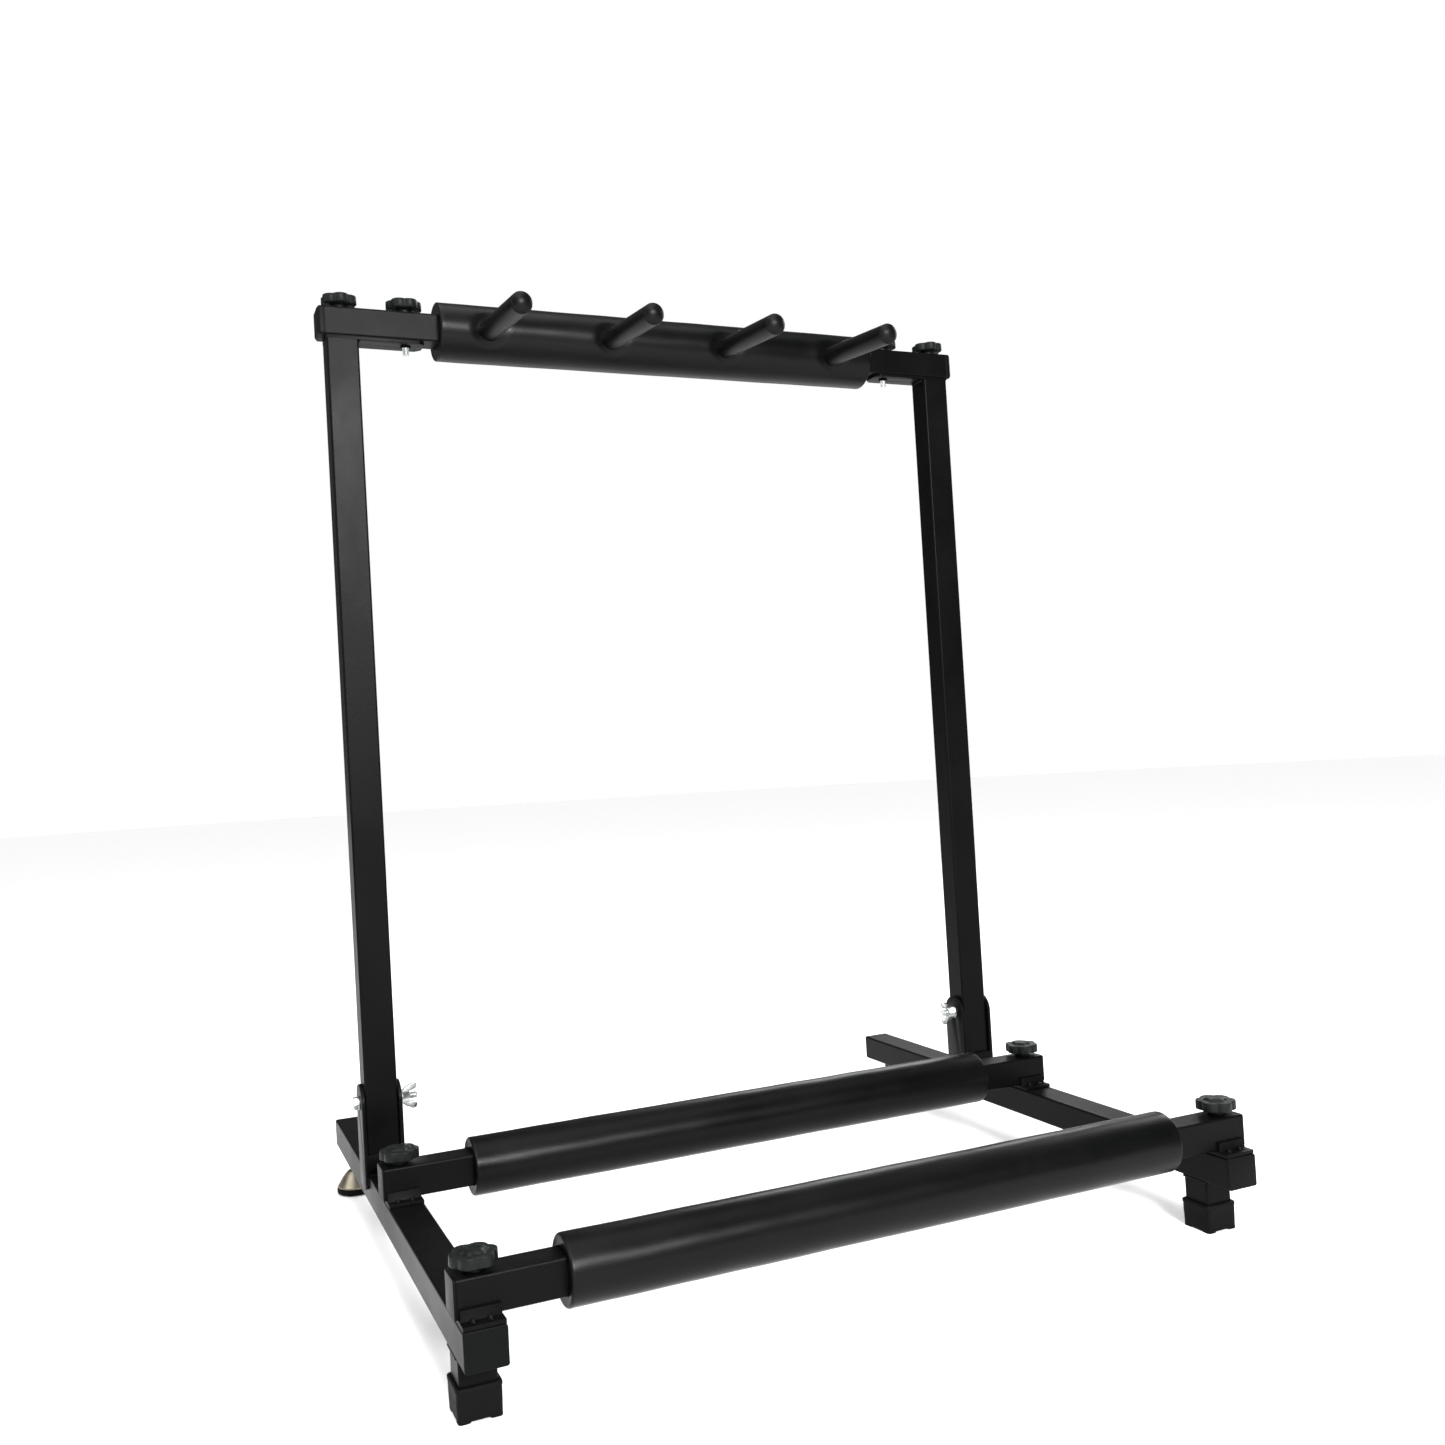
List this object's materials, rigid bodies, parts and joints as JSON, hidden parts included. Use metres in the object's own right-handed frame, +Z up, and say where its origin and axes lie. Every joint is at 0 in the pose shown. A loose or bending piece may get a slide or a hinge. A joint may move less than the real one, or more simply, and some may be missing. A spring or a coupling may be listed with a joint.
{
  "type": "folding guitar rack",
  "caption": "Folding floor rack for a row of guitars: black steel base with two foam-covered bars, hinged upper frame with a foam-covered top bar and forward neck pegs, lobed clamping knobs.",
  "frame": {"origin": "on the floor at the middle of the rack's bounding box", "axes": "+Z up, -Y the front that the pegs point to, X across the rack; the rack is a mirror image about X = 0"},
  "size_m": [0.6464, 0.57, 0.8246],
  "materials": {
    "black_steel": "satin black powder coat with a fine grain",
    "black_plastic": "moulded, slightly glossy",
    "black_rubber": "matte moulded rubber",
    "black_foam": "smooth-skinned closed-cell foam",
    "peg_sleeve": "smooth satin sleeve",
    "knob_plastic": "moulded, fine grain",
    "foot_nickel": "dull nickel plate",
    "zinc_steel": "bright zinc plate"
  },
  "bodies": {
    "base": {"base_tube_left": "black_steel", "base_tube_right": "black_steel", "base_end_plugs": "black_plastic", "front_leg_left": "black_steel", "front_leg_right": "black_steel", "leg_cap_left": "black_rubber", "leg_cap_right": "black_rubber", "foot_insert_set": "zinc_steel", "saddle_front_left": "black_steel", "saddle_front_right": "black_steel", "saddle_rear_left": "black_steel", "saddle_rear_right": "black_steel", "saddle_rivets": "zinc_steel", "saddle_insert_set": "zinc_steel", "front_bar": "black_steel", "rear_bar": "black_steel", "bar_end_plugs": "black_plastic", "front_foam": "black_foam", "rear_foam": "black_foam", "hinge_bracket_left": "black_steel", "hinge_bracket_right": "black_steel", "hinge_bolt_left": "zinc_steel", "hinge_bolt_right": "zinc_steel", "hinge_washers": "zinc_steel"},
    "upper_frame": {"upright_left": "black_steel", "upright_right": "black_steel", "top_plate_left": "black_steel", "top_plate_right": "black_steel", "plate_nuts": "zinc_steel", "top_bar": "black_steel", "top_cap_left": "black_plastic", "top_cap_right": "black_plastic", "top_foam": "black_foam", "peg_rods": "black_steel", "peg_sleeve_1": "peg_sleeve", "peg_sleeve_2": "peg_sleeve", "peg_sleeve_3": "peg_sleeve", "peg_sleeve_4": "peg_sleeve"},
    "wing_nut_left": {"wing_nut_left": "zinc_steel"},
    "wing_nut_right": {"wing_nut_right": "zinc_steel"},
    "foot_left": {"foot_left": "foot_nickel", "foot_pad_left": "black_rubber"},
    "foot_right": {"foot_right": "foot_nickel", "foot_pad_right": "black_rubber"},
    "knob_front_left": {"knob_front_left": "knob_plastic", "stud_front_left": "zinc_steel"},
    "knob_front_right": {"knob_front_right": "knob_plastic", "stud_front_right": "zinc_steel"},
    "knob_rear_left": {"knob_rear_left": "knob_plastic", "stud_rear_left": "zinc_steel"},
    "knob_rear_right": {"knob_rear_right": "knob_plastic", "stud_rear_right": "zinc_steel"},
    "knob_top_left": {"knob_top_left": "knob_plastic", "stud_top_left": "zinc_steel"},
    "knob_top_left_inner": {"knob_top_left_inner": "knob_plastic", "stud_top_left_inner": "zinc_steel"},
    "knob_top_right": {"knob_top_right": "knob_plastic", "stud_top_right": "zinc_steel"},
    "knob_top_right_inner": {"knob_top_right_inner": "knob_plastic", "stud_top_right_inner": "zinc_steel"}
  },
  "joints": [
    {"name": "frame_fold", "type": "hinge", "parent": "base", "child": "upper_frame", "pos_m": [0, 0.0875, 0.125], "axis": [1, 0, 0], "range_deg": [0, 88]},
    {"name": "wing_nut_left_turn", "type": "hinge", "parent": "base", "child": "wing_nut_left", "pos_m": [-0.28, 0.0875, 0.125], "axis": [1, 0, 0], "continuous": true},
    {"name": "wing_nut_right_turn", "type": "hinge", "parent": "base", "child": "wing_nut_right", "pos_m": [0.28, 0.0875, 0.125], "axis": [1, 0, 0], "continuous": true},
    {"name": "foot_left_turn", "type": "hinge", "parent": "base", "child": "foot_left", "pos_m": [-0.301, 0.26, 0], "axis": [0, 0, 1], "continuous": true},
    {"name": "foot_right_turn", "type": "hinge", "parent": "base", "child": "foot_right", "pos_m": [0.301, 0.26, 0], "axis": [0, 0, 1], "continuous": true},
    {"name": "knob_front_left_turn", "type": "hinge", "parent": "base", "child": "knob_front_left", "pos_m": [-0.301, -0.2605, 0.094], "axis": [0, 0, 1], "continuous": true},
    {"name": "knob_front_right_turn", "type": "hinge", "parent": "base", "child": "knob_front_right", "pos_m": [0.301, -0.2605, 0.094], "axis": [0, 0, 1], "continuous": true},
    {"name": "knob_rear_left_turn", "type": "hinge", "parent": "base", "child": "knob_rear_left", "pos_m": [-0.301, -0.0025, 0.094], "axis": [0, 0, 1], "continuous": true},
    {"name": "knob_rear_right_turn", "type": "hinge", "parent": "base", "child": "knob_rear_right", "pos_m": [0.301, -0.0025, 0.094], "axis": [0, 0, 1], "continuous": true},
    {"name": "knob_top_left_turn", "type": "hinge", "parent": "upper_frame", "child": "knob_top_left", "pos_m": [-0.301, 0.0875, 0.811], "axis": [0, 0, 1], "continuous": true},
    {"name": "knob_top_left_inner_turn", "type": "hinge", "parent": "upper_frame", "child": "knob_top_left_inner", "pos_m": [-0.245, 0.0875, 0.811], "axis": [0, 0, 1], "continuous": true},
    {"name": "knob_top_right_turn", "type": "hinge", "parent": "upper_frame", "child": "knob_top_right", "pos_m": [0.301, 0.0875, 0.811], "axis": [0, 0, 1], "continuous": true},
    {"name": "knob_top_right_inner_turn", "type": "hinge", "parent": "upper_frame", "child": "knob_top_right_inner", "pos_m": [0.245, 0.0875, 0.811], "axis": [0, 0, 1], "continuous": true}
  ]
}
